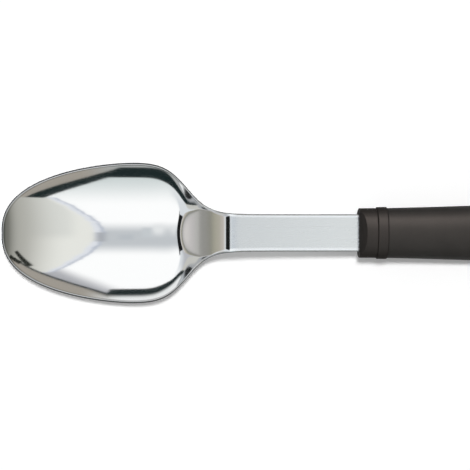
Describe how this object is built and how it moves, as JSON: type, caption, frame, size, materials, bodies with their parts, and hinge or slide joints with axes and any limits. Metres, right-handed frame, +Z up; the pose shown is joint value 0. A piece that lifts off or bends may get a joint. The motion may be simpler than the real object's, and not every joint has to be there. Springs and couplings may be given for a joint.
{
  "type": "serving spoon",
  "caption": "Serving spoon with an oval stamped steel bowl, a flat shank and a soft-grip handle with a collar, a raised band and a hanging hole.",
  "frame": {"origin": "centre of the bounding box in plan, on the surface that the spoon rests on", "axes": "+X runs along the spoon from the bowl to the handle, +Z points up out of the bowl's mouth"},
  "size_m": [0.2932, 0.0676, 0.0294],
  "materials": {
    "polished_steel": "mirror-polished bowl and neck, lengthwise satin shank",
    "collar_plastic": "fine matte",
    "core_plastic": "as moulded",
    "rivet_steel": "as headed",
    "soft_grip": "soft-touch matte",
    "cap_plastic": "fine matte"
  },
  "bodies": {
    "root": {"spoon_blade": "polished_steel", "front_collar": "collar_plastic", "collar_band": "collar_plastic", "core_upper": "core_plastic", "core_lower": "core_plastic", "tang_rivets": "rivet_steel", "grip_sleeve": "soft_grip", "end_cap": "cap_plastic"}
  },
  "joints": []
}
